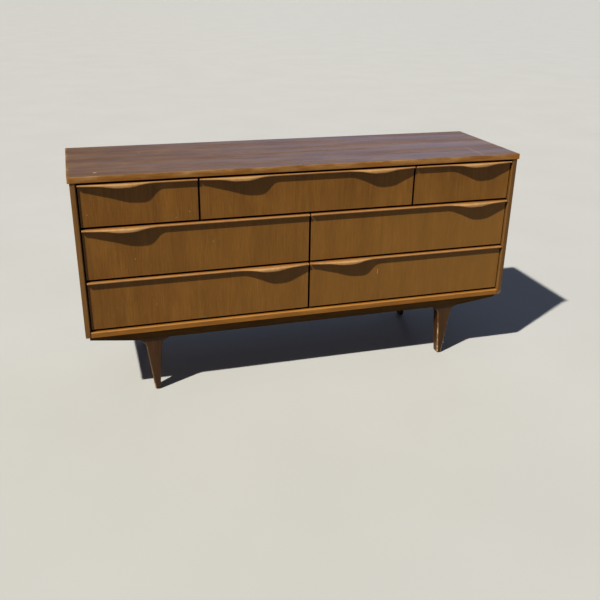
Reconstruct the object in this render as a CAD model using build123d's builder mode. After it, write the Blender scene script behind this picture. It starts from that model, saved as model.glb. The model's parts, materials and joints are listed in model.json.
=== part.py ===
from build123d import *
from math import cos, pi, radians, sin
import os

# A long low dresser: a plain case on a recessed base with four tapered legs, and seven
# drawers in three rows. Each drawer front carries a solid rail along its top edge that
# swells into finger pulls. Millimetres, +Z up, +X to the right as seen from the front,
# which faces -Y. The origin is on the floor, at the middle of the overall box, so that
# the dresser stands on z = 0.

os.makedirs("parts", exist_ok=True)

# Top and case
top_width = 1575.0
top_depth = 460.0
top_thickness = 19.0
top_end_overhang = 6.5
top_front_overhang = 3.0
top_rear_overhang = 3.0
front_band_thickness = 8.0  # solid edging round the veneered top
end_band_thickness = 10.0  # the end bands run through to the front
band_rounding = 3.0  # of the top's two front corners, seen from above
side_thickness = 18.0
bottom_thickness = 19.0
divider_thickness = 18.0
rail_thickness = 18.0
rail_depth = 60.0
back_thickness = 5.0
back_recess = 3.0  # the back panel lies this far inside the case's rear edge
back_rebate_floor = 5.5  # left under the rebate that the back panel stands in
inner_bevel = 3.0  # on the case's inner front arris
outer_easing = 1.0

# Drawer fronts
lower_front_height = 170.1
middle_front_height = 171.6
upper_front_height = 138.5
row_gap = 7.2
column_gap = 6.5
end_gap = 3.5  # between a side panel and the nearest front
small_front_width = 375.0  # the two short fronts of the upper row
front_thickness = 20.0
face_recess = 9.0  # the faces lie this far behind the case's front edge
front_easing = 1.2

# Pull rails
lip_height = 6.0
lip_reach = 11.0  # in front of the face
pull_reach = 26.5
pull_drop = 6.5
# Along a pull, from the drawer's end: it swells, keeps its full reach, and goes back.
pull_start = 8.0
pull_full = 150.0
pull_last = 165.0
pull_end = 252.0
drop_start = 60.0
drop_full = 122.0
drop_last = 150.0
drop_end = 212.0
nose_thickness = 7.0  # left in front of the finger hollow

# Drawer boxes
box_side_thickness = 12.0
box_back_thickness = 12.0
box_bottom_thickness = 5.0
box_bottom_rise = 12.0  # from the sides' lower edge to the bottom board
groove_depth = 5.0
box_rear_clearance = 12.0
tail_length = 13.0  # of the front dovetails, short of the front's face
tail_base = 9.0
tail_flare = 2.2  # added on each side of a tail at its tip
tail_pitch = 24.0

# Running clearances
front_clearance = 1.0  # a closed front stops this far from the rails
side_clearance = 3.0
lower_clearance = 1.0
upper_clearance = 5.0
guide_clearance = 0.75

# Runners on the case and grooved guides under the drawers
runner_width = 20.0
runner_height = 9.0
runner_setback = 6.0
guide_width = 46.0

# Base
base_height = 240.0  # floor to the underside of the case
apron_height = 36.0
apron_thickness = 20.0
apron_setback = 21.0  # behind the case's front and rear edges
apron_end_inset = 13.0
apron_end_height = 18.0
leg_inset = 225.0  # from the case's end to the middle of a leg's head
leg_width = 51.0
leg_depth = 42.0
leg_rounding = 5.0
foot_width = 19.0
foot_shift = 3.5  # the foot stands this far towards the case's middle from its head
foot_depth = 34.0
flare_radius = 39.0
flare_steps = 6
glide_radius = 6.0
glide_height = 3.0

# Screws
screw_radius = 2.0
screw_head_radius = 4.0
screw_head_height = 2.6
screw_margin = 40.0  # from a side panel to the outermost screw
side_screw_spacing = 180.0  # in the base's side rails
base_screw_length = 50.0
top_screw_length = 30.0
back_screw_length = 20.0

# Places along Y. The pulls stand in front of the top, so they set the front of the
# overall box.
pull_proud = pull_reach - face_recess - top_front_overhang
top_front_y = (pull_proud - top_depth) / 2
top_rear_y = top_front_y + top_depth
case_front_y = top_front_y + top_front_overhang
case_rear_y = top_rear_y - top_rear_overhang
case_middle_y = (case_front_y + case_rear_y) / 2
face_y = case_front_y + face_recess
front_back_y = face_y + front_thickness
rail_front_y = front_back_y + front_clearance
back_rear_y = case_rear_y - back_recess
back_front_y = back_rear_y - back_thickness
box_rear_y = back_front_y - box_rear_clearance
apron_front_y = case_front_y + apron_setback

# Places along X
case_half = top_width / 2 - top_end_overhang
inner_half = case_half - side_thickness
front_end = inner_half - end_gap
upper_divider_x = front_end - small_front_width - column_gap / 2
leg_x = case_half - leg_inset
foot_x = leg_x - foot_shift

# Places along Z
case_floor_z = base_height + bottom_thickness
back_low_z = base_height + back_rebate_floor
lower_front_z = case_floor_z + row_gap
lower_rail_z = lower_front_z + lower_front_height + row_gap / 2
middle_front_z = lower_rail_z + row_gap / 2
upper_rail_z = middle_front_z + middle_front_height + row_gap / 2
upper_front_z = upper_rail_z + row_gap / 2
case_top_z = upper_front_z + upper_front_height + row_gap
top_rail_z = case_top_z - rail_thickness / 2
top_z = case_top_z + top_thickness
apron_z = base_height - apron_height
shoulder_z = apron_z - flare_radius


def middle_of(span):
    return sum(span) / 2


def around(middle, width):
    return (middle - width / 2, middle + width / 2)


def board(x_range, y_range, z_range, mode=Mode.ADD):
    """Adds a square-cut board to the part being built, or cuts its space away."""
    spans = (x_range, y_range, z_range)
    with Locations(Vector(*[middle_of(span) for span in spans])):
        Box(*[high - low for low, high in spans], mode=mode)


def save(part, name):
    part.label = name
    export_step(part, f"parts/{name}.step")


# Screws come first, because the boards that they hold are drilled by them.
def spaced(count, reach):
    """Evenly spaced places from -reach to reach."""
    return [reach * (2 * number / (count - 1) - 1) for number in range(count)]


front_apron_y = apron_front_y + apron_thickness / 2
rear_apron_y = 2 * case_middle_y - front_apron_y
top_rail_ys = (rail_front_y + rail_depth / 2, back_front_y - rail_depth / 2)
screw_reach = inner_half - screw_margin
back_screw_zs = (base_height + (back_rebate_floor + bottom_thickness) / 2, lower_rail_z, upper_rail_z, top_rail_z)
base_screws = [(x, y, apron_z) for x in spaced(3, leg_x / 2) for y in (front_apron_y, rear_apron_y)]
side_screw_ys = (case_middle_y - side_screw_spacing / 2, case_middle_y + side_screw_spacing / 2)
base_screws += [(x, y, apron_z) for x in (-leg_x, leg_x) for y in side_screw_ys]
top_screws = [(x, y, case_top_z - rail_thickness) for x in spaced(4, screw_reach) for y in top_rail_ys]
back_screws = [(x, back_rear_y, z) for x in spaced(5, screw_reach) for z in back_screw_zs]

from_below = (Align.CENTER, Align.CENTER, Align.MIN)
forwards = (90, 0, 0)
with BuildPart() as case_screws:
    with Locations(base_screws):
        Cone(screw_head_radius, screw_radius, screw_head_height, align=from_below)
        Cylinder(screw_radius, base_screw_length, align=from_below)
    with Locations(top_screws):
        Cone(screw_head_radius, screw_radius, screw_head_height, align=from_below)
        Cylinder(screw_radius, top_screw_length, align=from_below)
    with Locations(back_screws):
        Cone(screw_head_radius, screw_radius, screw_head_height, rotation=forwards, align=from_below)
        Cylinder(screw_radius, back_screw_length, rotation=forwards, align=from_below)
save(case_screws.part, "case_screws")

# The veneered top and the solid bands round its front and ends
top_half = top_width / 2
panel_half = top_half - end_band_thickness
top_level = (case_top_z, top_z)
with BuildPart() as top_panel:
    board((-panel_half, panel_half), (top_front_y + front_band_thickness, top_rear_y), top_level)
    add(case_screws.part, mode=Mode.SUBTRACT)
save(top_panel.part, "top_panel")

with BuildPart() as front_band:
    board((-panel_half, panel_half), (top_front_y, top_front_y + front_band_thickness), top_level)
    fillet(front_band.faces().sort_by(Axis.Y)[0].edges().filter_by(Axis.X), outer_easing)

with BuildPart() as left_band:
    board((-top_half, -panel_half), (top_front_y, top_rear_y), top_level)
    front_upright = left_band.edges().filter_by(Axis.Z).group_by(Axis.Y)[0].sort_by(Axis.X)[0]
    fillet(front_upright, band_rounding)
    fillet(left_band.faces().sort_by(Axis.X)[0].edges().filter_by(Axis.Y), outer_easing)

with BuildPart() as right_band:
    mirror(left_band.part, about=Plane.YZ)

# One node of three solids that touch, which one block would fuse into one
top_edge_bands = Part(children=[front_band.part, left_band.part, right_band.part])
save(top_edge_bands, "top_edge_bands")

# Case sides, which run down past the ends of the bottom
for name, end in (("left_side_panel", -1), ("right_side_panel", 1)):
    with BuildPart() as side_panel:
        side_x = sorted((end * inner_half, end * case_half))
        board(side_x, (case_front_y, case_rear_y), (base_height, case_top_z))
        upright = side_panel.edges().filter_by(Axis.Z).group_by(Axis.Y)[0].sort_by(Axis.X)
        outer_arris, inner_arris = upright[::-end]
        chamfer(inner_arris, inner_bevel)
        fillet(outer_arris, outer_easing)
    save(side_panel.part, name)

# The bottom is rebated along its rear edge for the back panel.
with BuildPart() as bottom_panel:
    board((-inner_half, inner_half), (case_front_y, case_rear_y), (base_height, case_floor_z))
    front_arrises = bottom_panel.faces().sort_by(Axis.Y)[0].edges().filter_by(Axis.X)
    chamfer(front_arrises.sort_by(Axis.Z)[-1], inner_bevel)
    board((-inner_half, inner_half), (back_front_y, case_rear_y), (back_low_z, case_floor_z), Mode.SUBTRACT)
    add(case_screws.part, mode=Mode.SUBTRACT)
save(bottom_panel.part, "bottom_panel")

with BuildPart() as back_panel:
    board((-inner_half, inner_half), (back_front_y, back_rear_y), (back_low_z, case_top_z))
    add(case_screws.part, mode=Mode.SUBTRACT)
save(back_panel.part, "back_panel")

# Upright dividers: two between the upper drawers, one between the lower pairs
case_depth = (rail_front_y, back_front_y)
divider_half = divider_thickness / 2
rail_half = rail_thickness / 2
with BuildPart() as dividers:
    for x in (-upper_divider_x, upper_divider_x):
        board(around(x, divider_thickness), case_depth, (upper_rail_z + rail_half, top_rail_z - rail_half))
    board((-divider_half, divider_half), case_depth, (case_floor_z, upper_rail_z - rail_half))
    add(case_screws.part, mode=Mode.SUBTRACT)
save(dividers.part, "dividers")

# Level rails, front and rear, which the closed fronts hide
front_rail_depth = (rail_front_y, rail_front_y + rail_depth)
rear_rail_depth = (back_front_y - rail_depth, back_front_y)
with BuildPart() as frame_rails:
    for depth in (front_rail_depth, rear_rail_depth):
        board((-inner_half, -divider_half), depth, (lower_rail_z - rail_half, lower_rail_z + rail_half))
        board((divider_half, inner_half), depth, (lower_rail_z - rail_half, lower_rail_z + rail_half))
        board((-inner_half, inner_half), depth, (upper_rail_z - rail_half, upper_rail_z + rail_half))
        board((-inner_half, inner_half), depth, (top_rail_z - rail_half, top_rail_z + rail_half))
    add(case_screws.part, mode=Mode.SUBTRACT)
save(frame_rails.part, "frame_rails")

# Each row gives its fronts' height and the opening that its boxes run in.
rows = {
    "upper": (
        (upper_front_z, upper_front_z + upper_front_height),
        (upper_rail_z + rail_half, top_rail_z - rail_half),
    ),
    "middle": (
        (middle_front_z, middle_front_z + middle_front_height),
        (lower_rail_z + rail_half, upper_rail_z - rail_half),
    ),
    "lower": (
        (lower_front_z, lower_front_z + lower_front_height),
        (case_floor_z, lower_rail_z - rail_half),
    ),
}

# Each column gives its front's width and the opening between its upright walls.
half_gap = column_gap / 2
inner_front_x = upper_divider_x - half_gap
outer_front_x = upper_divider_x + half_gap
inner_wall_x = upper_divider_x - divider_half
outer_wall_x = upper_divider_x + divider_half
columns = {
    "left_quarter": ((-front_end, -outer_front_x), (-inner_half, -outer_wall_x)),
    "centre": ((-inner_front_x, inner_front_x), (-inner_wall_x, inner_wall_x)),
    "right_quarter": ((outer_front_x, front_end), (outer_wall_x, inner_half)),
    "left_half": ((-front_end, -half_gap), (-inner_half, -divider_half)),
    "right_half": ((half_gap, front_end), (divider_half, inner_half)),
}

# Drawer name, row, column, and the ends of the front that carry a pull
# (-1 for the left end, 1 for the right end)
drawers = [
    ("upper_left_drawer", "upper", "left_quarter", (-1,)),
    ("upper_centre_drawer", "upper", "centre", (-1, 1)),
    ("upper_right_drawer", "upper", "right_quarter", (1,)),
    ("middle_left_drawer", "middle", "left_half", (-1,)),
    ("middle_right_drawer", "middle", "right_half", (1,)),
    ("lower_left_drawer", "lower", "left_half", (1,)),
    ("lower_right_drawer", "lower", "right_half", (-1,)),
]


# Centre runners, one for each drawer, standing on the rails or on the case bottom
with BuildPart() as drawer_runners:
    for name, row, column, pull_ends in drawers:
        opening_low_z = rows[row][1][0]
        board(
            around(middle_of(columns[column][1]), runner_width),
            (rail_front_y + runner_setback, back_front_y),
            (opening_low_z, opening_low_z + runner_height),
        )
save(drawer_runners.part, "drawer_runners")


def make_sides(box_x, box_z):
    """Two sides, with a row of dovetails at the front end and at the rear end."""
    inner_y = box_rear_y - box_back_thickness
    bottom_z = box_z[0] + box_bottom_rise
    back_z = bottom_z + box_bottom_thickness
    left_x = (box_x[0], box_x[0] + box_side_thickness)
    tail_count = int((box_z[1] - back_z) / tail_pitch)
    first_tail_z = (back_z + box_z[1] - (tail_count - 1) * tail_pitch) / 2
    with BuildPart() as sides:
        board(left_x, (front_back_y, inner_y), box_z)
        board(left_x, (inner_y, box_rear_y), (box_z[0], back_z))
        with BuildSketch(Plane.YZ.offset(left_x[0])):
            for number in range(tail_count):
                z = first_tail_z + number * tail_pitch
                base = tail_base / 2
                tip = base + tail_flare
                for root_y, tip_y in ((front_back_y, front_back_y - tail_length), (inner_y, box_rear_y)):
                    corners = [(root_y, z - base), (tip_y, z - tip), (tip_y, z + tip), (root_y, z + base)]
                    Polygon(*corners, align=None)
        extrude(amount=box_side_thickness)
        board(
            (left_x[1] - groove_depth, left_x[1]),
            (front_back_y, box_rear_y),
            (bottom_z, bottom_z + box_bottom_thickness),
            Mode.SUBTRACT,
        )
        mirror(about=Plane.YZ.offset(middle_of(box_x)))
    return sides.part


def make_front(front_x, front_z, sides, box_x, bottom_z):
    """A veneered front, cut on its rear face for the dovetails and for the bottom board."""
    with BuildPart() as front:
        board(front_x, (face_y, front_back_y), (front_z[0], front_z[1] - lip_height))
        face_arrises = front.faces().sort_by(Axis.Y)[0].edges().sort_by(Axis.Z)[:-1]
        fillet(face_arrises, front_easing)
        board(
            (box_x[0] + box_side_thickness - groove_depth, box_x[1] - box_side_thickness + groove_depth),
            (front_back_y - groove_depth, front_back_y),
            (bottom_z, bottom_z + box_bottom_thickness),
            Mode.SUBTRACT,
        )
        add(sides, mode=Mode.SUBTRACT)
    return front.part


def make_pull(front_x, top_z, pull_ends):
    """A rail along the front's top edge, swelling forward and down into a pull."""
    under_z = top_z - lip_height
    low_z = under_z - pull_drop
    lip_y = face_y - lip_reach
    hollow_y = face_y - pull_reach + nose_thickness
    with BuildPart() as pull:
        board(front_x, (lip_y, front_back_y), (under_z, top_z))
        for end in pull_ends:
            end_x = front_x[0] if end < 0 else front_x[1]
            inward = -end

            # The swelling seen from above, which starts like the first quarter of a wave
            swell_x = [end_x + inward * s for s in (pull_start, pull_full, pull_last, pull_end)]
            level = [(inward, 0), (inward, 0)]
            first_slope = (pull_reach - lip_reach) * pi / 2 / (pull_full - pull_start)
            with BuildSketch(Plane.XY.offset(low_z)):
                with BuildLine():
                    rise = Spline(
                        (swell_x[0], lip_y),
                        (swell_x[1], face_y - pull_reach),
                        tangents=[(inward, -first_slope), (inward, 0)],
                    )
                    front = Line(rise @ 1, (swell_x[2], face_y - pull_reach))
                    fall = Spline(front @ 1, (swell_x[3], lip_y), tangents=level)
                    Polyline(fall @ 1, (swell_x[3], face_y), (swell_x[0], face_y), rise @ 0)
                make_face()
            extrude(amount=top_z - low_z)

            # What lies under its lower edge, seen from the front, is cut away.
            drop_x = [end_x + inward * s for s in (drop_start, drop_full, drop_last, drop_end)]
            with BuildSketch(Plane.XZ.offset(-face_y)):
                with BuildLine():
                    down = Spline((drop_x[0], under_z), (drop_x[1], low_z), tangents=level)
                    flat = Line(down @ 1, (drop_x[2], low_z))
                    up = Spline(flat @ 1, (drop_x[3], under_z), tangents=level)
                    Polyline(
                        up @ 1,
                        (swell_x[3] + inward, under_z),
                        (swell_x[3] + inward, low_z - 1),
                        (end_x, low_z - 1),
                        (end_x, under_z),
                        down @ 0,
                    )
                make_face()
            extrude(amount=pull_reach + 1, mode=Mode.SUBTRACT)

            # The hollow for the fingers, behind the nose
            with BuildSketch(Plane.YZ.offset(min(drop_x))):
                with BuildLine():
                    roof = TangentArc((hollow_y, low_z), (face_y, under_z), tangent=(0, 1))
                    Polyline(roof @ 1, (face_y, low_z), roof @ 0)
                make_face()
            extrude(amount=drop_end - drop_start, mode=Mode.SUBTRACT)
    return pull.part


def make_box_board(x_range, y_range, z_range, cutter=None):
    with BuildPart() as piece:
        board(x_range, y_range, z_range)
        if cutter is not None:
            add(cutter, mode=Mode.SUBTRACT)
    return piece.part


def make_guide(middle_x, opening_low_z, bottom_z):
    """A strip under the drawer, grooved to run on the case's centre runner."""
    low_z = opening_low_z + lower_clearance + guide_clearance
    length = (front_back_y, box_rear_y)
    with BuildPart() as guide:
        board(around(middle_x, guide_width), length, (low_z, bottom_z))
        board(
            around(middle_x, runner_width + 2 * guide_clearance),
            length,
            (low_z, opening_low_z + runner_height + guide_clearance),
            Mode.SUBTRACT,
        )
    return guide.part


for name, row, column, pull_ends in drawers:
    front_z, opening_z = rows[row]
    front_x, opening_x = columns[column]
    box_x = (opening_x[0] + side_clearance, opening_x[1] - side_clearance)
    box_z = (opening_z[0] + lower_clearance, opening_z[1] - upper_clearance)
    inside_x = (box_x[0] + box_side_thickness, box_x[1] - box_side_thickness)
    bottom_z = box_z[0] + box_bottom_rise
    back_z = bottom_z + box_bottom_thickness

    sides = make_sides(box_x, box_z)
    save(sides, f"{name}_sides")
    save(make_front(front_x, front_z, sides, box_x, bottom_z), f"{name}_front")
    save(make_pull(front_x, front_z[1], pull_ends), f"{name}_pull")
    back_y = (box_rear_y - box_back_thickness, box_rear_y)
    save(make_box_board(box_x, back_y, (back_z, box_z[1]), sides), f"{name}_back")
    bottom_x = (inside_x[0] - groove_depth, inside_x[1] + groove_depth)
    bottom_y = (front_back_y - groove_depth, box_rear_y)
    save(make_box_board(bottom_x, bottom_y, (bottom_z, back_z)), f"{name}_bottom")
    save(make_guide(middle_of(opening_x), opening_z[0], bottom_z), f"{name}_guide")

# The base: a front and a rear apron, shaped at the ends, and a rail from leg to leg
apron_end_x = case_half - apron_end_inset
apron_turn_x = leg_x + leg_width / 2 + flare_radius
apron_outline = [
    (-apron_end_x, base_height),
    (-apron_end_x, base_height - apron_end_height),
    (-apron_turn_x, apron_z),
    (apron_turn_x, apron_z),
    (apron_end_x, base_height - apron_end_height),
    (apron_end_x, base_height),
]
with BuildPart() as front_apron:
    with BuildSketch(Plane.XZ.offset(-apron_front_y - apron_thickness)):
        Polygon(*apron_outline, align=None)
    extrude(amount=apron_thickness)
    add(case_screws.part, mode=Mode.SUBTRACT)
save(front_apron.part, "base_front_apron")

across_case = Plane.XZ.offset(-case_middle_y)
with BuildPart() as rear_apron:
    mirror(front_apron.part, about=across_case)
save(rear_apron.part, "base_rear_apron")

leg_rear_y = apron_front_y + leg_depth
side_rail_ys = (leg_rear_y, 2 * case_middle_y - leg_rear_y)
with BuildPart() as base_side_rails:
    for x in (-leg_x, leg_x):
        board(around(x, apron_thickness), side_rail_ys, (apron_z, base_height))
    add(case_screws.part, mode=Mode.SUBTRACT)
save(base_side_rails.part, "base_side_rails")

# The front left leg: a tapered shank, a head that flares to the apron's lower edge,
# and a block behind the apron that reaches the case. Each section gives its height, its
# middle, its width and its depth. The flare is a quarter circle, stopped one step short
# so that its upper edge keeps some thickness.
leg_middle_y = apron_front_y + leg_depth / 2
flare_angles = [radians(step * 90 / flare_steps) for step in range(1, flare_steps)]
leg_sections = [(glide_height, -foot_x, foot_width, foot_depth), (shoulder_z, -leg_x, leg_width, leg_depth)] + [
    (shoulder_z + flare_radius * sin(angle), -leg_x, leg_width + 2 * flare_radius * (1 - cos(angle)), leg_depth)
    for angle in flare_angles
]
with BuildPart() as front_left_leg:
    for z, middle_x, width, depth in leg_sections:
        with BuildSketch(Plane.XY.offset(z)):
            with Locations((middle_x, leg_middle_y)):
                RectangleRounded(width, depth, leg_rounding)
    loft(ruled=True)
    extrude(front_left_leg.faces().sort_by(Axis.Z)[-1], amount=apron_z - leg_sections[-1][0])
    board(around(-leg_x, leg_width), (apron_front_y + apron_thickness, leg_rear_y), (apron_z, base_height))
save(front_left_leg.part, "front_left_leg")

# The other legs mirror it, about the case's two middle planes.
with BuildPart() as front_right_leg:
    mirror(front_left_leg.part, about=Plane.YZ)
save(front_right_leg.part, "front_right_leg")
for name, front_leg in (("rear_left_leg", front_left_leg), ("rear_right_leg", front_right_leg)):
    with BuildPart() as rear_leg:
        mirror(front_leg.part, about=across_case)
    save(rear_leg.part, name)

rear_leg_middle_y = 2 * case_middle_y - leg_middle_y
with BuildPart() as floor_glides:
    with Locations([(x, y, 0) for x in (-foot_x, foot_x) for y in (leg_middle_y, rear_leg_middle_y)]):
        Cylinder(glide_radius, glide_height, align=from_below)
    chamfer(floor_glides.faces().sort_by(Axis.Z)[:4].edges(), glide_height / 3)
save(floor_glides.part, "floor_glides")
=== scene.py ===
# %% [markdown]
# # A long low dresser
#
# The joinery of this dresser was drawn in CAD, and its packed model is loaded here as a
# fixed frame. Blender adds what CAD leaves out: the grain, the lacquer, the rubbed arrises
# and the hand-shaped pulls. Every measure is in metres. The dresser stands on z = 0, its
# drawers face -Y, and +X is to its right as somebody in front of it sees it.

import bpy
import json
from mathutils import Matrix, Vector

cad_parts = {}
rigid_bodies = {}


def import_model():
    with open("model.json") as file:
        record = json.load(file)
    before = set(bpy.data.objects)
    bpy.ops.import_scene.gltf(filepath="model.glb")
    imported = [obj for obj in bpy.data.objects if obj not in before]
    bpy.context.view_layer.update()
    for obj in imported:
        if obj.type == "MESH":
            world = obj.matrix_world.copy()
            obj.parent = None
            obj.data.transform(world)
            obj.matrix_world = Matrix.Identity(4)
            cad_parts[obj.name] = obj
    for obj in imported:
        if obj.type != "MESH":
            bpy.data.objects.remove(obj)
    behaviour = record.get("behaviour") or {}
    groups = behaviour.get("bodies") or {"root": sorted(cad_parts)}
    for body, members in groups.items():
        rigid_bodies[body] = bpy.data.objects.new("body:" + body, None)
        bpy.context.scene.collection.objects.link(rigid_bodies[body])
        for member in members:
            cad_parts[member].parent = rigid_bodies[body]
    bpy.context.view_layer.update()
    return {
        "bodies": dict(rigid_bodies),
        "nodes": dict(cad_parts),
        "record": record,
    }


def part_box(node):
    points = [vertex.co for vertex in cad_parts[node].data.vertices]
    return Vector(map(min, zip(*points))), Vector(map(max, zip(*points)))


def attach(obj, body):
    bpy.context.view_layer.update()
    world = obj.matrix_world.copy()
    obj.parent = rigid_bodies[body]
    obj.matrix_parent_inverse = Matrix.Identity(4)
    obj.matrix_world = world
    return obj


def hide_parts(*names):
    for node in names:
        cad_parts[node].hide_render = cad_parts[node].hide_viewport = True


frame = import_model()
nodes = frame["nodes"]

# %% The rest of the toolbox
import json
from math import cos, pi, radians, sin, sqrt

import bmesh
import bpy
from mathutils import Vector

# %% [markdown]
# ## Measures from the frame
#
# A piece that is made here has to meet the CAD boards exactly, so its places are read from
# the boards' boxes and never typed in. Only what the frame can't tell, such as how round a
# nose is, gets a number of its own, next to the piece that needs it.

# %% Measures
drawers = [name for name in frame["bodies"] if name.endswith("_drawer")]
front_low, front_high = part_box("upper_centre_drawer_front")
pull_low, pull_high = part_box("upper_centre_drawer_pull")
face_y = front_low.y
front_thickness = front_high.y - front_low.y
pull_reach = face_y - pull_low.y
pull_height = pull_high.z - pull_low.z
lip_height = pull_high.z - front_high.z
top_low, top_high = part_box("top_panel")
band_low, band_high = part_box("top_edge_bands")
case_low, case_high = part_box("bottom_panel")
print(len(drawers), "drawers, whose pulls reach", round(pull_reach, 4), "in front of the faces")

# %% [markdown]
# ## The camera
#
# The dresser is seen from its left, from a standing person's height, turned a little down.
# A camera could be aimed with a constraint, but plain angles keep it where it is put. The
# small roll is that of a camera held by hand.

# %% Camera
camera = bpy.data.objects.new("camera", bpy.data.cameras.new("camera"))
bpy.context.scene.collection.objects.link(camera)
camera.location = (-0.748, -2.565, 1.3415)
camera.rotation_euler = (radians(66.99), radians(-0.78), radians(-16.57))
camera.data.sensor_width = 36.0
camera.data.lens = 44.66
bpy.context.scene.camera = camera
print("camera at", [round(v, 3) for v in camera.location])

# %% [markdown]
# ## Wires that do sums
#
# A material is a graph of nodes. Drawing a long sum as boxes and wires hides its meaning,
# so this class lets a wire be added, multiplied and compared like a number, and each step
# turns into one Math node.

# %% A wire
class Wire:
    """One output socket of a finish's node, which can be used in sums."""

    def __init__(self, finish, socket):
        self.finish = finish
        self.socket = socket

    def step(self, operation, *values):
        return self.finish.node("ShaderNodeMath", {"operation": operation}, dict(enumerate(values)))

    def __add__(self, other):
        return self.step("ADD", self, other)

    def __sub__(self, other):
        return self.step("SUBTRACT", self, other)

    def __rsub__(self, other):
        return self.step("SUBTRACT", other, self)

    def __mul__(self, other):
        return self.step("MULTIPLY", self, other)

    def __truediv__(self, other):
        return self.step("DIVIDE", self, other)

    __radd__ = __add__
    __rmul__ = __mul__

    def least(self, other):
        return self.step("MINIMUM", self, other)

    def most(self, other):
        return self.step("MAXIMUM", self, other)

    def between(self, low, high):
        """0 below low and 1 above high, turning smoothly. A low above the high turns it round."""
        return self.finish.node(
            "ShaderNodeMapRange",
            {"interpolation_type": "SMOOTHSTEP"},
            {"Value": self, "From Min": low, "From Max": high},
        )


print("a wire knows", [name for name in vars(Wire) if name[0] != "_"])

# %% [markdown]
# ## A finish, and one way to add a node
#
# Every material here is a Principled shader that is fed by a few patterns. The method
# `node` adds any node: its type, then its settings, then what goes into its sockets.

# %% A finish
def pick(sockets, name):
    """A socket by its number, its identifier or its shown name."""
    if isinstance(name, int):
        return sockets[name]
    for socket in sockets:
        if socket.identifier == name:
            return socket
    return sockets[name]


class Finish:
    """A material with its Principled shader."""

    def __init__(self, name, **constants):
        self.material = bpy.data.materials.new(name)
        self.material.use_nodes = True
        self.tree = self.material.node_tree
        self.shader = self.tree.nodes["Principled BSDF"]
        for socket, value in constants.items():
            self.shader.inputs[socket.replace("_", " ")].default_value = value

    def feed(self, socket, value):
        if isinstance(value, Wire):
            self.tree.links.new(value.socket, socket)
        else:
            socket.default_value = value

    def node(self, kind, settings, sockets, output=0):
        made = self.tree.nodes.new(kind)
        for name, value in settings.items():
            if name == "stops":
                self.set_stops(made.color_ramp, value)
            else:
                setattr(made, name, value)
        for name, value in sockets.items():
            self.feed(pick(made.inputs, name), value)
        return Wire(self, pick(made.outputs, output))

    def set_stops(self, ramp, stops):
        while len(ramp.elements) < len(stops):
            ramp.elements.new(0.5)
        for element, (place, colour) in zip(ramp.elements, stops):
            element.position = place
            element.color = colour

    def show(self, socket, wire):
        self.tree.links.new(wire.socket, self.shader.inputs[socket])


# %% Patterns that every finish can use
def object_place(finish):
    """The place on the piece, in metres, which moves with it."""
    return finish.node("ShaderNodeTexCoord", {}, {}, "Object")


def place_along(finish, axis):
    """How far along one axis the place is, in metres."""
    return finish.node("ShaderNodeSeparateXYZ", {}, {"Vector": object_place(finish)}, axis)


def vector_step(finish, operation, first, second):
    sockets = {0: first, 1: second}
    return finish.node("ShaderNodeVectorMath", {"operation": operation}, sockets, "Vector")


def noise(finish, place, detail, roughness=0.5):
    sockets = {"Vector": place, "Scale": 1.0, "Detail": detail, "Roughness": roughness}
    return finish.node("ShaderNodeTexNoise", {}, sockets)


def clouds_at(finish, rate, detail, roughness=0.5):
    """A pattern of about 0.5, with so many clouds a metre and alike each way."""
    place = vector_step(finish, "MULTIPLY", object_place(finish), (rate, rate, rate))
    return noise(finish, place, detail, roughness)


def blend(finish, amount, first, second):
    """Two colours mixed, second over first."""
    sockets = {"Factor_Float": amount, "A_Color": first, "B_Color": second}
    return finish.node("ShaderNodeMix", {"data_type": "RGBA"}, sockets, "Result_Color")


def stain(red, green, blue):
    """A colour as on a paint card, each part 0 to 255, as the light that the shader wants."""
    return tuple((part / 255) ** 2.2 for part in (red, green, blue)) + (1.0,)


print("a mid walnut stain is", [round(part, 3) for part in stain(120, 80, 42)])

# %% [markdown]
# ## Wood
#
# Wood looks like wood because its pattern is long one way and short the other. The object's
# own coordinates are squeezed along the grain and stretched across it before they reach a
# noise, so that each speck of noise becomes a streak. Five sizes of streak are used: broad
# bands of early and late wood, short patches where the figure catches the light, the grain
# that the eye follows, a fine combing, and the pores, which walnut shows as short dark
# dashes. A slow wander keeps the streaks from being ruler straight. The pattern sits in the
# piece and not on its surface, so it wraps round an arris as it does on real timber.

# %% Streaks along the grain
def drawn_out(along, across_rate, along_rate):
    """How often a pattern repeats per metre on each axis."""
    return tuple(along_rate if axis == along else across_rate for axis in "XYZ")


def wandering_place(finish, along, amount, seed):
    """The place, pushed sideways a little by a slow noise that runs along the grain."""
    place = vector_step(finish, "ADD", object_place(finish), (seed, seed * 0.7, seed * 0.4))
    slow = vector_step(finish, "MULTIPLY", place, drawn_out(along, 9.0, 1.6))
    sockets = {"Vector": slow, "Scale": 1.0, "Detail": 2.0}
    push = finish.node("ShaderNodeTexNoise", {}, sockets, "Color")
    push = vector_step(finish, "SUBTRACT", push, (0.5, 0.5, 0.5))
    push = vector_step(finish, "MULTIPLY", push, drawn_out(along, amount, 0.0))
    return vector_step(finish, "ADD", place, push)


def streaks(finish, place, along, across_rate, along_rate, detail):
    squeezed = vector_step(finish, "MULTIPLY", place, drawn_out(along, across_rate, along_rate))
    return noise(finish, squeezed, detail)


print("a pattern drawn out along x repeats", drawn_out("X", 75.0, 2.2), "times a metre")

# %% Walnut, from its streaks
streak_rates = {  # across the grain, along it, and how detailed
    "broad": (13.0, 0.8, 2.0),
    "grain": (75.0, 2.2, 3.0),
    "combing": (330.0, 16.0, 2.0),
    "patches": (18.0, 7.0, 3.0),
    "pores": (1100.0, 45.0, 1.0),
}
tone_shares = {"broad": 0.4, "grain": 0.35, "combing": 0.6, "patches": 0.45}
pore_edge = (0.58, 0.70)  # the noise's value at a pore's rim and inside it
pore_darkness = 0.45


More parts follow.
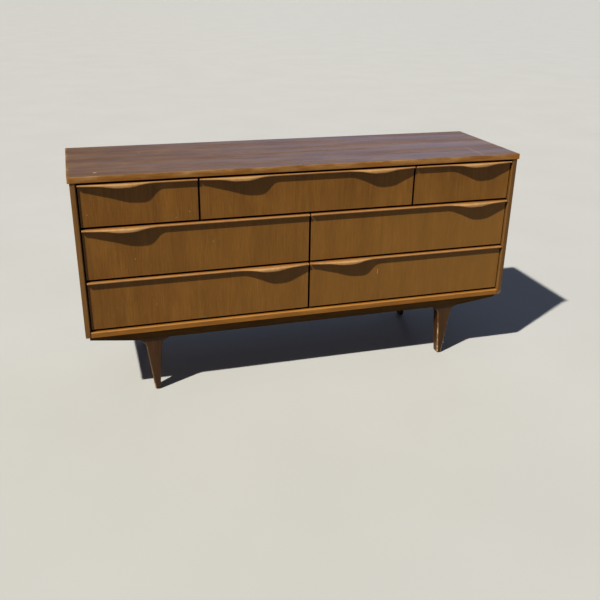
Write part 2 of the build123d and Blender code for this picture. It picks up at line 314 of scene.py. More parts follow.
def walnut(finish, along, stains, seed=0.0, wander=0.02, figure=1.0):
    """Returns the wood's colour, its pores (1 in a pore) and its tone (0 dark to 1 light)."""
    dark, middle, light = stains
    place = wandering_place(finish, along, wander, seed)
    layers = {name: streaks(finish, place, along, *rates) for name, rates in streak_rates.items()}
    pores = layers["pores"].between(*pore_edge)
    tone = 0.5 + figure * sum((layers[name] - 0.5) * share for name, share in tone_shares.items())
    stops = [(0.15, dark), (0.5, middle), (0.85, light)]
    colour = finish.node("ShaderNodeValToRGB", {"stops": stops}, {"Fac": tone}, "Color")
    return blend(finish, pores * pore_darkness, colour, dark), pores, tone


pore_roughness = 0.15
tone_roughness = 0.06
pore_depth = 0.00012


def polish(finish, colour, pores, tone, roughness):
    """Feeds the shader: the pores are matt and sunk, and the rest is as smooth as it is told."""
    finish.show("Base Color", colour)
    finish.show("Roughness", roughness + pores * pore_roughness + (tone - 0.5) * tone_roughness)
    sockets = {"Strength": 0.35, "Distance": pore_depth, "Height": (1.0 - pores) + tone * 0.5}
    finish.show("Normal", finish.node("ShaderNodeBump", {}, sockets, "Normal"))
    return finish


print("walnut is made of", len(streak_rates), "sizes of streak")

# %% [markdown]
# ## Wear
#
# Seventy years of hands take the stain off the arrises first, and small knocks leave short
# pale scratches. Two kinds of mask are enough for both. A piece that is made here carries
# how much it is rubbed in its mesh, as an attribute. Such wear is never even, so the
# finishes break it up with a cloudy noise, which makes a rubbed line come and go. A scratch
# is a line between two places, and its mask fades from 1 on that line to 0 at its width.

# %% Masks of wear
def rubbed(finish):
    """How much the mesh says that hands have worn it."""
    return finish.node("ShaderNodeAttribute", {"attribute_name": "rub"}, {}, "Fac")


def scratch(finish, start, end, width):
    """1 along a straight scratch between two places, and 0 away from it."""
    run = end - start
    offset = vector_step(finish, "SUBTRACT", object_place(finish), tuple(start))
    dotted = {0: offset, 1: tuple(run)}
    along = finish.node("ShaderNodeVectorMath", {"operation": "DOT_PRODUCT"}, dotted, "Value")
    along = (along / run.length_squared).most(0.0).least(1.0)
    scaled = {0: tuple(run), "Scale": along}
    nearest = finish.node("ShaderNodeVectorMath", {"operation": "SCALE"}, scaled, "Vector")
    away = {0: vector_step(finish, "SUBTRACT", offset, nearest)}
    distance = finish.node("ShaderNodeVectorMath", {"operation": "LENGTH"}, away, "Value")
    return distance.between(width, width * 0.3)


print("two kinds of mask:", rubbed.__name__, "and", scratch.__name__)

# %% [markdown]
# ## The finishes
#
# The top is the glossiest wood, under a worn coat that mirrors the sky. The drawer faces are
# a satin veneer with upright grain, lighter towards the right, partly from bleaching by time
# and partly from a painted sheen. The bands, lips and pulls are solid walnut and have kept less
# of their stain. The legs and aprons are stained the darkest. What hides inside is pale secondary
# wood.

# %% Stains
top_stains = (stain(75, 52, 29), stain(93, 68, 39), stain(112, 86, 53))
face_stains = (stain(83, 56, 24), stain(100, 69, 30), stain(117, 82, 38))
edging_stains = (stain(97, 64, 25), stain(115, 78, 33), stain(133, 94, 44))
pull_stains = (stain(91, 58, 27), stain(110, 73, 36), stain(130, 91, 50))
side_stains = (stain(76, 52, 24), stain(89, 62, 30), stain(103, 74, 38))
base_stains = (stain(46, 31, 16), stain(62, 42, 22), stain(78, 55, 30))
apron_stains = (stain(62, 43, 19), stain(80, 57, 26), stain(96, 70, 34))
box_stains = (stain(166, 144, 108), stain(182, 161, 125), stain(197, 178, 144))
frame_stains = (stain(126, 104, 74), stain(146, 121, 88), stain(162, 138, 104))
bare_wood = stain(176, 146, 104)
bleach_and_sheen_colour = stain(122, 92, 48)  # the lighter colour on a face: partly bleaching by the sun, partly a painted sheen
painted_gap_shade = stain(44, 28, 14)  # painted shade on a front's edges, which only the gaps show, so that the gaps read dark
painted_frame_shade = stain(40, 24, 14)  # painted shade on the front edges of the inner frame, so that the gaps read dark
print("stains mixed, and bare wood is", [round(part, 2) for part in bare_wood[:3]])

# %% The top's finish
top_grain = {"seed": 2.0, "wander": 0.03, "figure": 1.3}
scratch_start = Vector((top_high.x - 0.13, band_low.y + 0.15, band_high.z))
scratch_end = Vector((top_high.x - 0.129, band_low.y + 0.022, band_high.z))
fleck_start = Vector((top_low.x + 0.075, band_low.y + 0.052, band_high.z))
fleck_end = fleck_start + Vector((0.004, 0.0, 0.0))

top_finish = Finish("walnut_top", Coat_Roughness=0.2, Coat_IOR=1.5, Specular_IOR_Level=0.35)
colour, pores, tone = walnut(top_finish, "X", top_stains, **top_grain)
long_scratch = scratch(top_finish, scratch_start, scratch_end, 0.0022)
fleck = scratch(top_finish, fleck_start, fleck_end, 0.005)
marks = long_scratch * 0.45 + fleck
colour = blend(top_finish, marks.least(1.0), colour, bare_wood)
polish(top_finish, colour, pores, tone, 0.36)
worn_coat = streaks(top_finish, object_place(top_finish), "X", 22.0, 1.3, 4.0)
top_finish.show("Coat Weight", 0.03 + 0.5 * worn_coat.between(0.42, 0.62))
print("top finish:", len(top_finish.tree.nodes), "nodes")

# %% The drawer faces' finish, one for each front
# Each mark's place from the front's left and from its lower edge, and its upright length.
small_marks = {
    "upper_left_drawer": ((0.022, 0.040, 0.0), (0.30, 0.012, 0.0), (0.345, 0.030, 0.0)),
    "middle_left_drawer": ((0.42, 0.100, 0.0), (0.16, 0.060, 0.0)),
    "lower_left_drawer": ((0.22, 0.070, 0.0),),
    "lower_right_drawer": ((0.258, 0.105, 0.016),),
}
mark_width = 0.0016
ragged_by = 0.002  # how unevenly the lower edge is rubbed
lower_rub = (0.0018, 0.0006)  # how far from an edge its rubbed line ends, and is full
right_rub = (0.0018, 0.0008)
# How far in from a front's edges the painted gap shade starts, and where it is full.
edge_shade_band = (0.0006, 0.0003)
# How much of the lighter colour, partly bleaching and partly painted sheen, a face takes at least
# and at most.
least_lightening, most_lightening = 0.05, 0.40
sun_height = 0.25  # up to here above the case's floor, the bleaching and the painted sheen are full


def face_finish(name, node, seed):
    finish = Finish(f"walnut_face_{name}", Specular_IOR_Level=0.25)
    low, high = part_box(node)
    colour, pores, tone = walnut(finish, "Z", face_stains, seed=seed)
    x, z = place_along(finish, "X"), place_along(finish, "Z")
    across = x / (case_high.x - case_low.x) + 0.5
    # Lighter towards the right and lower down: partly bleaching by the sun, partly a painted sheen.
    lightened = across * z.between(band_low.z, case_high.z + sun_height)
    bleach_and_sheen = least_lightening + lightened * (most_lightening - least_lightening)
    colour = blend(finish, bleach_and_sheen, colour, bleach_and_sheen_colour)
    ragged = (clouds_at(finish, 38.0, 4.0, 0.6) - 0.5) * ragged_by
    lower_edge = (z - low.z + ragged).between(*lower_rub)
    right_edge = (high.x - x).between(*right_rub)
    colour = blend(finish, lower_edge.most(right_edge) * 0.3, colour, bare_wood)
    # Painted shade on the front's edges, so that the gaps between the fronts read dark.
    edge_shade = (x - low.x).least(high.x - x).least(z - low.z).between(*edge_shade_band)
    colour = blend(finish, edge_shade * 0.9, colour, painted_gap_shade)
    for from_left, from_below, length in small_marks.get(name, ()):
        start = Vector((low.x + from_left, low.y, low.z + from_below))
        end = start + Vector((0.001, 0.0, max(length, 0.001)))
        colour = blend(finish, scratch(finish, start, end, mark_width) * 0.6, colour, bare_wood)
    return polish(finish, colour, pores, tone, 0.42)


print("small marks on", len(small_marks), "of the", len(drawers), "fronts")

# %% Ways to finish walnut
def plain_finish(name, along, stains, roughness, figure=1.0, **constants):
    finish = Finish(name, **constants)
    colour, pores, tone = walnut(finish, along, stains, figure=figure)
    return polish(finish, colour, pores, tone, roughness)


def handled_finish(name, along, stains, roughness, seed=0.0, flaking=False, **constants):
    """Wood that is worn where it is rubbed, in soft patches or in flakes with an edge."""
    finish = Finish(name, **constants)
    colour, pores, tone = walnut(finish, along, stains, seed=seed)
    patchy = clouds_at(finish, 60.0, 3.0, 0.6)
    if flaking:
        patchy = patchy.between(0.46, 0.56)
    worn = rubbed(finish) * (0.35 + patchy * 0.9)
    colour = blend(finish, worn.least(1.0) * 0.75, colour, bare_wood)
    return polish(finish, colour, pores, tone, roughness)


def band_finish(name, along):
    """A band's wood, whose upper side was stained with the top."""
    finish = Finish(name, Specular_IOR_Level=0.3)
    colour, pores, tone = walnut(finish, along, edging_stains)
    over = walnut(finish, "X", top_stains, **top_grain)[0]
    upper = place_along(finish, "Z").between(band_high.z - 0.0011, band_high.z - 0.0005)
    colour = blend(finish, upper, colour, over)
    patchy = streaks(finish, object_place(finish), along, 60.0, 14.0, 4.0)
    worn = rubbed(finish) * patchy.between(0.35, 0.75)
    colour = blend(finish, worn.least(1.0) * 0.45, colour, bare_wood)
    return polish(finish, colour, pores, tone, 0.38)


print("three ways: plain, handled and band")

# %% Walnut finishes
satin = {"Specular_IOR_Level": 0.3}
dull = {"Specular_IOR_Level": 0.25}
pull_finish = handled_finish("walnut_pull", "X", pull_stains, 0.34, seed=5.0, **satin)
front_band_finish = band_finish("walnut_front_band", "X")
end_band_finish = band_finish("walnut_end_band", "Y")
leg_finish = handled_finish("walnut_leg", "Z", base_stains, 0.38, flaking=True, **satin)
side_finish = handled_finish("walnut_side", "Z", side_stains, 0.42, seed=9.0, **dull)
apron_finish = plain_finish("walnut_apron", "X", apron_stains, 0.5, Specular_IOR_Level=0.12)
side_rail_finish = plain_finish("walnut_base_rail", "Y", base_stains, 0.5)
print("handled and plain walnut ready")

# %% Finishes for the drawer boxes and the inside of the case
box_side_finish = plain_finish("drawer_wood_y", "Y", box_stains, 0.5, figure=0.6)
box_back_finish = plain_finish("drawer_wood_x", "X", box_stains, 0.5, figure=0.6)
runner_finish = plain_finish("runner_wood", "Y", frame_stains, 0.6, figure=0.7)


def shaded_front_finish(name, along, front_y):
    """Secondary wood with painted shade on its front edge, so that the gaps read dark and none
    shows pale.
    """
    finish = Finish(name)
    colour, pores, tone = walnut(finish, along, frame_stains, figure=0.7)
    ragged = (clouds_at(finish, 30.0, 3.0) - 0.5) * 0.012
    # Painted shade along the front edge, which the gaps between the drawers show.
    front_shade = (place_along(finish, "Y") - front_y + ragged).between(0.016, 0.008)
    colour = blend(finish, front_shade * 0.9, colour, painted_frame_shade)
    return polish(finish, colour, pores, tone, 0.6)


rail_front_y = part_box("frame_rails")[0].y
rail_finish = shaded_front_finish("rail_wood", "X", rail_front_y)
divider_finish = shaded_front_finish("divider_wood", "Z", rail_front_y)
print("inside finishes ready, the rails' front is at y =", round(rail_front_y, 4))

# %% [markdown]
# ## Hardboard and steel
#
# Hardboard is pressed fibre: no grain, only a fine felt and slow cloudy patches. The screws
# and glides are plated steel, which only needs a tarnish in its roughness and colour.

# %% Hardboard
hardboard_finish = Finish("hardboard")
clouds = clouds_at(hardboard_finish, 5.0, 4.0)
felt = clouds_at(hardboard_finish, 900.0, 3.0)
colour = blend(hardboard_finish, clouds.between(0.3, 0.7), stain(124, 92, 64), stain(144, 110, 79))
colour = blend(hardboard_finish, felt.between(0.45, 0.75) * 0.4, colour, stain(92, 66, 46))
polish(hardboard_finish, colour, felt * 0.3, clouds, 0.75)
print("hardboard:", len(hardboard_finish.tree.nodes), "nodes")

# %% Steel
steel_finish = Finish("steel", Metallic=1.0)
tarnish = clouds_at(steel_finish, 260.0, 4.0)
tarnished = blend(steel_finish, tarnish, stain(150, 146, 138), stain(196, 194, 190))
steel_finish.show("Base Color", tarnished)
steel_finish.show("Roughness", 0.28 + tarnish * 0.3)
print("steel:", len(steel_finish.tree.nodes), "nodes")

# %% [markdown]
# ## Skins
#
# A hand-shaped piece is easiest to describe by its cross-sections, as a boat is by its
# frames. A skin joins a row of equal rings with quads and closes both ends. Every point
# also carries how much it is rubbed, which the finish reads.

# %% Skins from rings
class Skin:
    """Points, faces and rub of one piece, which may hold several closed shells."""

    def __init__(self):
        self.points = []
        self.faces = []
        self.rub = []

    def loft(self, rings):
        """Each ring is a list of (point, rub)."""
        start = len(self.points)
        count = len(rings[0])
        for ring in rings:
            for point, rub in ring:
                self.points.append(point)
                self.rub.append(rub)
        for row in range(len(rings) - 1):
            for step in range(count):
                first = start + row * count + step
                second = start + row * count + (step + 1) % count
                self.faces.append((first, second, second + count, first + count))
        end = start + (len(rings) - 1) * count
        self.faces.append(tuple(range(start, start + count)))
        self.faces.append(tuple(range(end, end + count)))


print("a skin keeps", list(vars(Skin())))

# %% From a skin to a piece
sharp_angle = radians(32)


def make_piece(name, skin, body, finish, slot, *stands_for):
    mesh = bpy.data.meshes.new(name)
    mesh.from_pydata(skin.points, [], skin.faces)
    mesh.attributes.new("rub", "FLOAT", "POINT").data.foreach_set("value", skin.rub)
    work = bmesh.new()
    work.from_mesh(mesh)
    bmesh.ops.recalc_face_normals(work, faces=work.faces)
    work.to_mesh(mesh)
    work.free()
    mesh.shade_smooth()
    mesh.set_sharp_from_angle(angle=sharp_angle)
    mesh.materials.append(finish.material)
    piece = bpy.data.objects.new(name, mesh)
    bpy.context.scene.collection.objects.link(piece)
    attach(piece, body)
    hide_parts(*stands_for)
    print(name, "has", len(skin.faces), "faces")


# %% Curves for the sections
def ease(amount):
    """0 to 1 with a level start and a level end."""
    amount = min(max(amount, 0.0), 1.0)
    return amount * amount * (3 - 2 * amount)


def corner(middle, radius, start, end, steps):
    """Points of a round corner, from one angle in degrees to another."""
    angles = [radians(start + (end - start) * step / steps) for step in range(steps + 1)]
    return [(middle[0] + radius * cos(angle), middle[1] + radius * sin(angle)) for angle in angles]


def round_inset(distance, radius):
    """How far a round of this radius draws the surface in, at a distance from its end."""
    share = min(distance / radius, 1.0)
    return radius * (1 - sqrt(1 - (1 - share) ** 2))


print("a quarter eased is", ease(0.25), "and a round's end is drawn in by", round_inset(0.0, 0.003))

# %% [markdown]
# ## The pull rails
#
# Along the top of every drawer front runs a solid rail. For most of its length it is a thin
# lip with a round nose. Near the drawer's end it swells forward and down into a pull, with a
# hollow behind its nose for the fingertips. A boolean of plain solids would leave hard
# lines where the swelling starts, so the rail is a skin over sections that change smoothly
# along it: each section knows how far it reaches and how deep its nose is.

# %% How a rail swells
lip_reach = 0.011  # in front of the face
nose_thickness = 0.007
# From the drawer's end: where the rail starts to reach out, is full, starts to fall back and
# is the plain lip again. Its nose drops inside those, over a shorter length.
swell_start, swell_full, swell_last, swell_end = 0.008, 0.150, 0.165, 0.252
drop_start, drop_full, drop_last, drop_end = 0.060, 0.122, 0.150, 0.212


def rail_shape(distance):
    """How swollen and how dropped, each 0 to 1, the rail is at a distance from its end."""
    growth = min(max((distance - swell_start) / (swell_full - swell_start), 0.0), 1.0)
    waning = ease((swell_end - distance) / (swell_end - swell_last))
    rise = ease((distance - drop_start) / (drop_full - drop_start))
    fall = ease((drop_end - distance) / (drop_end - drop_last))
    return min(sin(pi / 2 * growth), waning), min(rise, fall)


print("middle of the swelling:", rail_shape((swell_full + swell_last) / 2))

# %% One section of a rail
lower_round = 0.0020
hollow_steps = 8


def rail_section(swell, drop):
    """(forward, down, rub) round a section, from the rail's lower rear edge."""
    reach = lip_reach + (pull_reach - lip_reach) * swell
    height = lip_height + (pull_height - lip_height) * drop
    upper_round = 0.0026 + 0.0016 * swell
    hollow = max(reach - nose_thickness, 0.001)
    outline = [(-front_thickness, lip_height, 0.0), (0.0, lip_height, 0.0)]
    for step in range(1, hollow_steps):
        angle = pi / 2 * (1 - step / hollow_steps)
        outline.append((hollow * cos(angle), height - (height - lip_height) * sin(angle), 0.0))
    for forward, down in corner((reach - lower_round, height - lower_round), lower_round, 90, 0, 4):
        outline.append((forward, down, 0.15 + 0.3 * swell))
    for forward, down in corner((reach - upper_round, upper_round), upper_round, 0, -90, 6):
        outline.append((forward, down, 0.45 + 0.4 * swell))
    outline.append((reach * 0.4, 0.0, 0.25 + 0.2 * swell))
    outline.append((0.0, 0.0, 0.1))
    outline.append((-front_thickness, 0.0, 0.0))
    return outline


print("the plain lip's section has", len(rail_section(0.0, 0.0)), "points")

# %% The seven rails
openings = [opening["name"] for opening in frame["record"]["physics"]["openings"]]
stations = [0.0, 0.0006] + [0.0025 * step for step in range(1, 104)]  # from a rail's end
rail_easing = 0.0008

for drawer in drawers:
    low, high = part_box(f"{drawer}_pull")
    length = high.x - low.x
    left_pull = f"{drawer}_left_finger_hollow" in openings
    right_pull = f"{drawer}_right_finger_hollow" in openings
    near = {station for station in stations if station <= length}
    rings = []
    for place in sorted(near | {length - station for station in stations if station < length}):
        shapes = [(0.0, 0.0)]
        if left_pull:
            shapes.append(rail_shape(place))
        if right_pull:
            shapes.append(rail_shape(length - place))
        swell, drop = (max(parts) for parts in zip(*shapes))
        inset = round_inset(min(place, length - place), rail_easing)
        ring = []
        for forward, down, rub in rail_section(swell, drop):
            forward = forward - inset if forward > 0 else forward
            down = down + inset if down < lip_height / 2 else down
            ring.append(((low.x + place, face_y - forward, high.z - down), rub))
        rings.append(ring)
    skin = Skin()
    skin.loft(rings)
    make_piece(f"{drawer}_pull_rail", skin, drawer, pull_finish, "walnut_solid", f"{drawer}_pull")

# %% [markdown]
# ## The legs
#
# Each leg was shaped out of one block: a blade of rounded square section that tapers to
# the floor, with a head that flares in a quarter circle until it meets the apron. Behind
# the apron the block goes on up to the case. The sections are rounded rectangles. Their
# width follows the taper, then the circle, and their middle leans a little towards the
# dresser's middle. The foot has a small round where the wood meets its glide. The right
# front leg has lost flakes of its finish up most of its arrises, the others only at the foot.

# %% Rings of a leg
apron_low, apron_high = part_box("base_front_apron")
leg_rounding = 0.005
corner_steps = 6


def rounded_ring(middle, z, width, depth, radius, rub):
    """A rounded rectangle at a height, as (point, rub). The rub is on its corners only."""
    ring = []
    radius = min(radius, width / 2.1, depth / 2.1)
    for quarter, (side_x, side_y) in enumerate(((1, 1), (-1, 1), (-1, -1), (1, -1))):
        centre_x = middle[0] + side_x * (width / 2 - radius)
        centre_y = middle[1] + side_y * (depth / 2 - radius)
        start = quarter * 90
        turn = corner((centre_x, centre_y), radius, start, start + 90, corner_steps)
        for number, (x, y) in enumerate(turn):
            ring.append(((x, y, z), rub * sin(pi * number / corner_steps)))
    return ring


print("a ring has", len(rounded_ring((0.0, 0.0), 0.0, 0.05, 0.05, leg_rounding, 0.0)), "points")

# %% Sections of a leg
leg_width = 0.051
foot_width, foot_depth = 0.019, 0.034
foot_shift = 0.0035  # towards the dresser's middle
foot_round = 0.003
flare_radius = 0.039
shoulder_z = apron_low.z - flare_radius
foot_steps, shank_steps, flare_steps = 5, 24, 18


def leg_sections(low_z, depth):
    """(height, sideways shift, width, depth) from the glide to the apron."""
    sections = []
    for step in range(foot_steps + 1):
        angle = pi / 2 * step / foot_steps
        inset = foot_round * (1 - sin(angle))
        z = low_z + foot_round * (1 - cos(angle))
        sections.append((z, foot_shift, foot_width - 2 * inset, foot_depth - 2 * inset))
    bottom = low_z + foot_round
    for step in range(1, shank_steps + 1):
        share = step / shank_steps
        z = bottom + (shoulder_z - bottom) * share
        width = foot_width + (leg_width - foot_width) * share
        shank_depth = foot_depth + (depth - foot_depth) * share
        sections.append((z, foot_shift * (1 - share), width, shank_depth))
    for step in range(1, flare_steps + 1):
        angle = pi / 2 * step / flare_steps
        width = leg_width + 2 * flare_radius * (1 - cos(angle))
        sections.append((shoulder_z + flare_radius * sin(angle), 0.0, width, depth))
    return sections


print("a leg has", foot_steps + shank_steps + flare_steps + 1, "sections")

# %% The four legs
apron_thickness = apron_high.y - apron_low.y
worn_foot = 0.02  # the height below which a foot is fully worn
least_wear = 0.1
block_rounding = 0.0015
leg_wear = {  # how worn the arrises are, and how high up the wear reaches
    ("front", "left"): (0.4, 0.10),
    ("front", "right"): (1.3, 0.17),
    ("rear", "left"): (0.3, 0.10),
    ("rear", "right"): (0.3, 0.10),
}

for (end, side), (wear, wear_height) in leg_wear.items():
    node = f"{end}_{side}_leg"
    low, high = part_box(node)
    x, y = (low.x + high.x) / 2, (low.y + high.y) / 2
    depth = high.y - low.y
    to_middle = 1 if side == "left" else -1
    inward = 1 if end == "front" else -1
    rings = []
    for z, shift, width, section_depth in leg_sections(low.z, depth):
        scuffed = least_wear + wear * ease((wear_height - z) / (wear_height - worn_foot))
        ring_middle = (x + to_middle * shift, y)
        rings.append(rounded_ring(ring_middle, z, width, section_depth, leg_rounding, scuffed))
    block_depth = depth - apron_thickness
    block_middle = (x, y + inward * (depth - block_depth) / 2)
    block = []
    for z in (apron_low.z, high.z):
        block.append(rounded_ring(block_middle, z, leg_width, block_depth, block_rounding, 0.0))
    skin = Skin()
    skin.loft(rings)
    skin.loft(block)
    make_piece(f"{node}_shaped", skin, "case", leg_finish, "walnut_base", node)

# %% [markdown]
# ## The top's bands
#
# Solid bands hide the core of the veneered top. The end bands run through to the front and
# are rounded at the corner, and the front band lies between them. Its upper arris takes
# every knock, so its rounding is not the same all along: it swells and shrinks slowly, with
# a few bruises where something hard was set down.

# %% A band's section
band_height = band_high.z - band_low.z
lower_arris = 0.0010
bruises = (  # where along the band, how wide and how deep
    (-0.42, 0.006, 0.0016),
    (-0.31, 0.004, 0.0012),
    (0.09, 0.008, 0.0010),
    (0.66, 0.005, 0.0018),
    (0.70, 0.003, 0.0012),
)


def arris_round(place):
    """The radius of the upper arris, which wear has made uneven."""
    radius = 0.0012 + 0.0003 * sin(place * 9.0) + 0.0002 * sin(place * 31.0 + 1.0)
    for middle, width, depth in bruises:
        away = (place - middle) / width
        radius += depth / (1 + away ** 4)
    return radius


def band_section(thickness, upper_arris):
    """(outward, up, rub) round a band, outward from its inner face."""
    outline = [(0.0, 0.0, 0.0)]
    for outward, up in corner((thickness - lower_arris, lower_arris), lower_arris, -90, 0, 3):
        outline.append((outward, up, 0.25))
    upper_middle = (thickness - upper_arris, band_height - upper_arris)
    for outward, up in corner(upper_middle, upper_arris, 0, 90, 5):
        outline.append((outward, up, 0.8))
    outline.append((0.0, band_height, 0.0))
    return outline


arrises = [arris_round(place / 100) for place in range(-78, 79)]
print("the upper arris is", round(min(arrises), 4), "to", round(max(arrises), 4), "round")

# %% The front band
front_band_thickness = top_low.y - band_low.y
front_steps = 300
rings = []
for step in range(front_steps + 1):
    x = top_low.x + (top_high.x - top_low.x) * step / front_steps
    section = band_section(front_band_thickness, arris_round(x))
    rings.append([((x, top_low.y - outward, band_low.z + up), rub) for outward, up, rub in section])
skin = Skin()
skin.loft(rings)
make_piece("top_front_band", skin, "case", front_band_finish, "walnut_solid", "top_edge_bands")

# %% The end bands
end_band_thickness = top_low.x - band_low.x
end_band_length = band_high.y - band_low.y
end_rounding = 0.003
places = [end_rounding * (1 - cos(pi / 2 * step / 6)) for step in range(7)]
places += [end_rounding + (end_band_length - end_rounding) * step / 60 for step in range(1, 61)]

for name, end, edge_x in (("top_left_band", -1, top_low.x), ("top_right_band", 1, top_high.x)):
    rings = []
    for place in places:
        inset = round_inset(place, end_rounding)
        section = band_section(end_band_thickness - inset, arris_round(place * end))
        ring = []
        for outward, up, rub in section:
            ring.append(((edge_x + end * outward, band_low.y + place, band_low.z + up), rub))
        rings.append(ring)
    skin = Skin()
    skin.loft(rings)
    make_piece(name, skin, "case", end_band_finish, "walnut_solid", "top_edge_bands")

# %% [markdown]
# ## The side panels
#
# A side panel is a plain board with a bevel on its inner front arris. Its foot takes the
# knocks: the right one has lost its lower front corner, and pale wood shows where the finish
# has gone. The board is a skin along its depth, whose section has a round at its lower outer
# corner that is large in front and small behind.

# %% A side panel's section
outer_rub = 0.04
rub_fade = 0.006  # above the foot's round, where its rub has faded to the outer side's


def panel_section(x_inner, x_outer, low_z, high_z, foot_radius, foot_rub, least_rub):
    """((x, z), rub) round a side panel, seen from the front."""
    outward = 1 if x_outer > x_inner else -1
    outline = [((x_inner, high_z), 0.0), ((x_inner, low_z), 0.1)]
    for across, down in corner((-foot_radius, -foot_radius), foot_radius, 90, 0, 6):
        outline.append(((x_outer + outward * across, low_z - down), foot_rub))
    outline.append(((x_outer, low_z + foot_radius + rub_fade), outer_rub))
    outline.append(((x_outer, high_z), outer_rub))
    return [(point, max(rub, least_rub)) for point, rub in outline]


print("a side panel's section has", len(panel_section(0.0, 1.0, 0.0, 1.0, 0.1, 0.0, 0.0)), "points")

# %% The two side panels
inner_bevel = 0.003
outer_easing = 0.001
plain_foot_round = 0.0012
broken_length = 0.05  # from the front, along the panel's foot
rubbed_length = 0.03
front_rub = 0.08
close_places = [0.0, 0.0003, 0.0006, 0.001, 0.002, 0.003]
foot_places = [0.003 + 0.004 * step for step in range(1, 16)]

# The side, which way is out, how much of its corner is broken, and how bare that is.
for side, out, broken, bare in (("left", -1, 0.0015, 0.5), ("right", 1, 0.0120, 1.3)):
    low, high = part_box(f"{side}_side_panel")
    x_outer, x_inner = (low.x, high.x) if out < 0 else (high.x, low.x)
    last, length = foot_places[-1], high.y - low.y
    rear_places = [last + (length - last) * step / 12 for step in range(1, 13)]
    rings = []
    for place in close_places + foot_places + rear_places:
        section = panel_section(
            x_inner + out * max(inner_bevel - place, 0.0),
            x_outer - out * round_inset(place, outer_easing),
            low.z,
            high.z,
            plain_foot_round + broken * (1 - ease(place / broken_length)),
            bare * (1 - ease(place / rubbed_length)),
            front_rub if place < inner_bevel else 0.0,
        )
        rings.append([((x, low.y + place, z), rub) for (x, z), rub in section])
    skin = Skin()
    skin.loft(rings)
    panel = f"{side}_side_panel"
    make_piece(f"{side}_side_board", skin, "case", side_finish, "walnut_veneer", panel)

# %% [markdown]
# ## Finishes on the CAD boards
#
# The other boards keep their CAD shape, joints and all, and only get their wood. Each is
# given the grain direction in which its maker would have cut it.

# %% The bottom's finish
def bottom_finish():
    """Edging wood, lighter along its upper front arris: partly rubbed wear, partly a painted
    highlight.
    """
    finish = Finish("walnut_bottom", **dull)
    colour, pores, tone = walnut(finish, "X", edging_stains, seed=3.0)
    ragged = (clouds_at(finish, 45.0, 4.0) - 0.5) * 0.004
    near_top = (place_along(finish, "Z") - (case_high.z - 0.004) + ragged).between(0.0, 0.003)
    in_front = (place_along(finish, "Y") - case_low.y).between(0.006, 0.003)
    # Lighter along the upper front arris: partly rubbed wear, partly a painted highlight.
    colour = blend(finish, near_top * in_front * 0.2, colour, bare_wood)
    return polish(finish, colour, pores, tone, 0.38)


print("the bottom is", round(case_high.z - case_low.z, 4), "thick")

# %% Dress the CAD nodes
case_finishes = {
    "top_panel": top_finish,
    "bottom_panel": bottom_finish(),
    "back_panel": hardboard_finish,
    "dividers": divider_finish,
    "frame_rails": rail_finish,
    "drawer_runners": runner_finish,
    "case_screws": steel_finish,
    "floor_glides": steel_finish,
    "base_front_apron": apron_finish,
    "base_rear_apron": apron_finish,
    "base_side_rails": side_rail_finish,
}
box_finishes = {
    "sides": box_side_finish,
    "back": box_back_finish,
    "bottom": box_back_finish,
    "guide": runner_finish,
}


def dress(node, finish):
    mesh = nodes[node].data
    mesh.materials.clear()
    mesh.materials.append(finish.material)


for node, finish in case_finishes.items():
    dress(node, finish)
for number, drawer in enumerate(drawers):
    dress(f"{drawer}_front", face_finish(drawer, f"{drawer}_front", seed=1.3 * number))
    for piece, finish in box_finishes.items():
        dress(f"{drawer}_{piece}", finish)
print("dressed", len(case_finishes) + len(drawers) * (1 + len(box_finishes)), "CAD nodes")

# %% [markdown]
# ## Floor and light
#
# The dresser stands on a plain pale floor, which is wide enough to meet the horizon. One
# strong warm sun, high in front on the left, draws the shadows of the pulls. A weak cool one
# from behind keeps the back from going black, and is hidden from reflections, or the top
# would mirror it as a glare. The surround is dim, with a brighter blue patch behind on the
# right, which is what the top's coat mirrors.

# %% Floor
floor_half = 200.0
floor_finish = Finish("floor", Roughness=0.8)
mottle = clouds_at(floor_finish, 1.5, 5.0)
mottled = blend(floor_finish, mottle, stain(147, 147, 142), stain(154, 154, 150))
floor_finish.show("Base Color", mottled)
floor_mesh = bpy.data.meshes.new("floor")
floor_signs = ((-1, -1), (1, -1), (1, 1), (-1, 1))
floor_corners = [(x * floor_half, y * floor_half, 0.0) for x, y in floor_signs]
floor_mesh.from_pydata(floor_corners, [], [(0, 1, 2, 3)])
floor_mesh.materials.append(floor_finish.material)
floor = bpy.data.objects.new("floor", floor_mesh)
bpy.context.scene.collection.objects.link(floor)
print("floor:", 2 * floor_half, "m across")


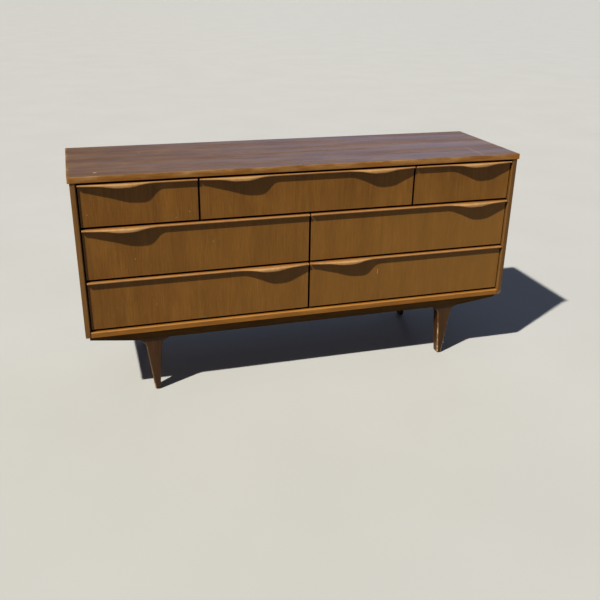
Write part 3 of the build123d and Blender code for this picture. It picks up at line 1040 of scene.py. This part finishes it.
# %% Suns
def sun(name, towards, energy, degrees, colour):
    """A sun seen in a direction from the dresser, which looks so many degrees wide."""
    lamp = bpy.data.objects.new(name, bpy.data.lights.new(name, "SUN"))
    lamp.data.energy = energy
    lamp.data.angle = radians(degrees)
    lamp.data.color = colour
    lamp.rotation_euler = Vector(towards).to_track_quat("Z", "Y").to_euler()
    bpy.context.scene.collection.objects.link(lamp)
    return lamp


key = sun("key_lamp", (-0.747, -0.456, 1.0), 7.0, 1.5, (1.0, 0.96, 0.9))
fill = sun("fill_lamp", (0.25, 0.95, 0.14), 0.6, 15.0, (0.92, 0.95, 1.0))
fill.visible_glossy = False
print("the fill is", round(fill.data.energy / key.data.energy, 3), "of the key")

# %% The surround
dim = (0.11, 0.12, 0.16, 1.0)
blue_patch = (0.25, 0.34, 0.56, 1.0)
patch_middle = Vector((0.62, 0.72, 0.32)).normalized()
patch_rim = 0.65  # the cosine of the angle from its middle at which it ends

world = bpy.data.worlds.new("surround")
bpy.context.scene.world = world
world.use_nodes = True
sky = world.node_tree.nodes
background = sky["Background"]
background.inputs["Strength"].default_value = 1.0
direction = sky.new("ShaderNodeTexCoord")
towards = sky.new("ShaderNodeVectorMath")
towards.operation = "DOT_PRODUCT"
towards.inputs[1].default_value = patch_middle
ramp = sky.new("ShaderNodeMapRange")
ramp.interpolation_type = "SMOOTHSTEP"
ramp.inputs["From Min"].default_value = patch_rim
mixed = sky.new("ShaderNodeMix")
mixed.data_type = "RGBA"
pick(mixed.inputs, "A_Color").default_value = dim
pick(mixed.inputs, "B_Color").default_value = blue_patch
wire = world.node_tree.links.new
wire(direction.outputs["Generated"], towards.inputs[0])
wire(towards.outputs["Value"], ramp.inputs["Value"])
wire(ramp.outputs[0], pick(mixed.inputs, "Factor_Float"))
wire(pick(mixed.outputs, "Result_Color"), background.inputs["Color"])
bpy.context.scene.view_settings.view_transform = "Standard"
bpy.context.scene.view_settings.look = "Medium High Contrast"
print("surround:", len(sky), "nodes")
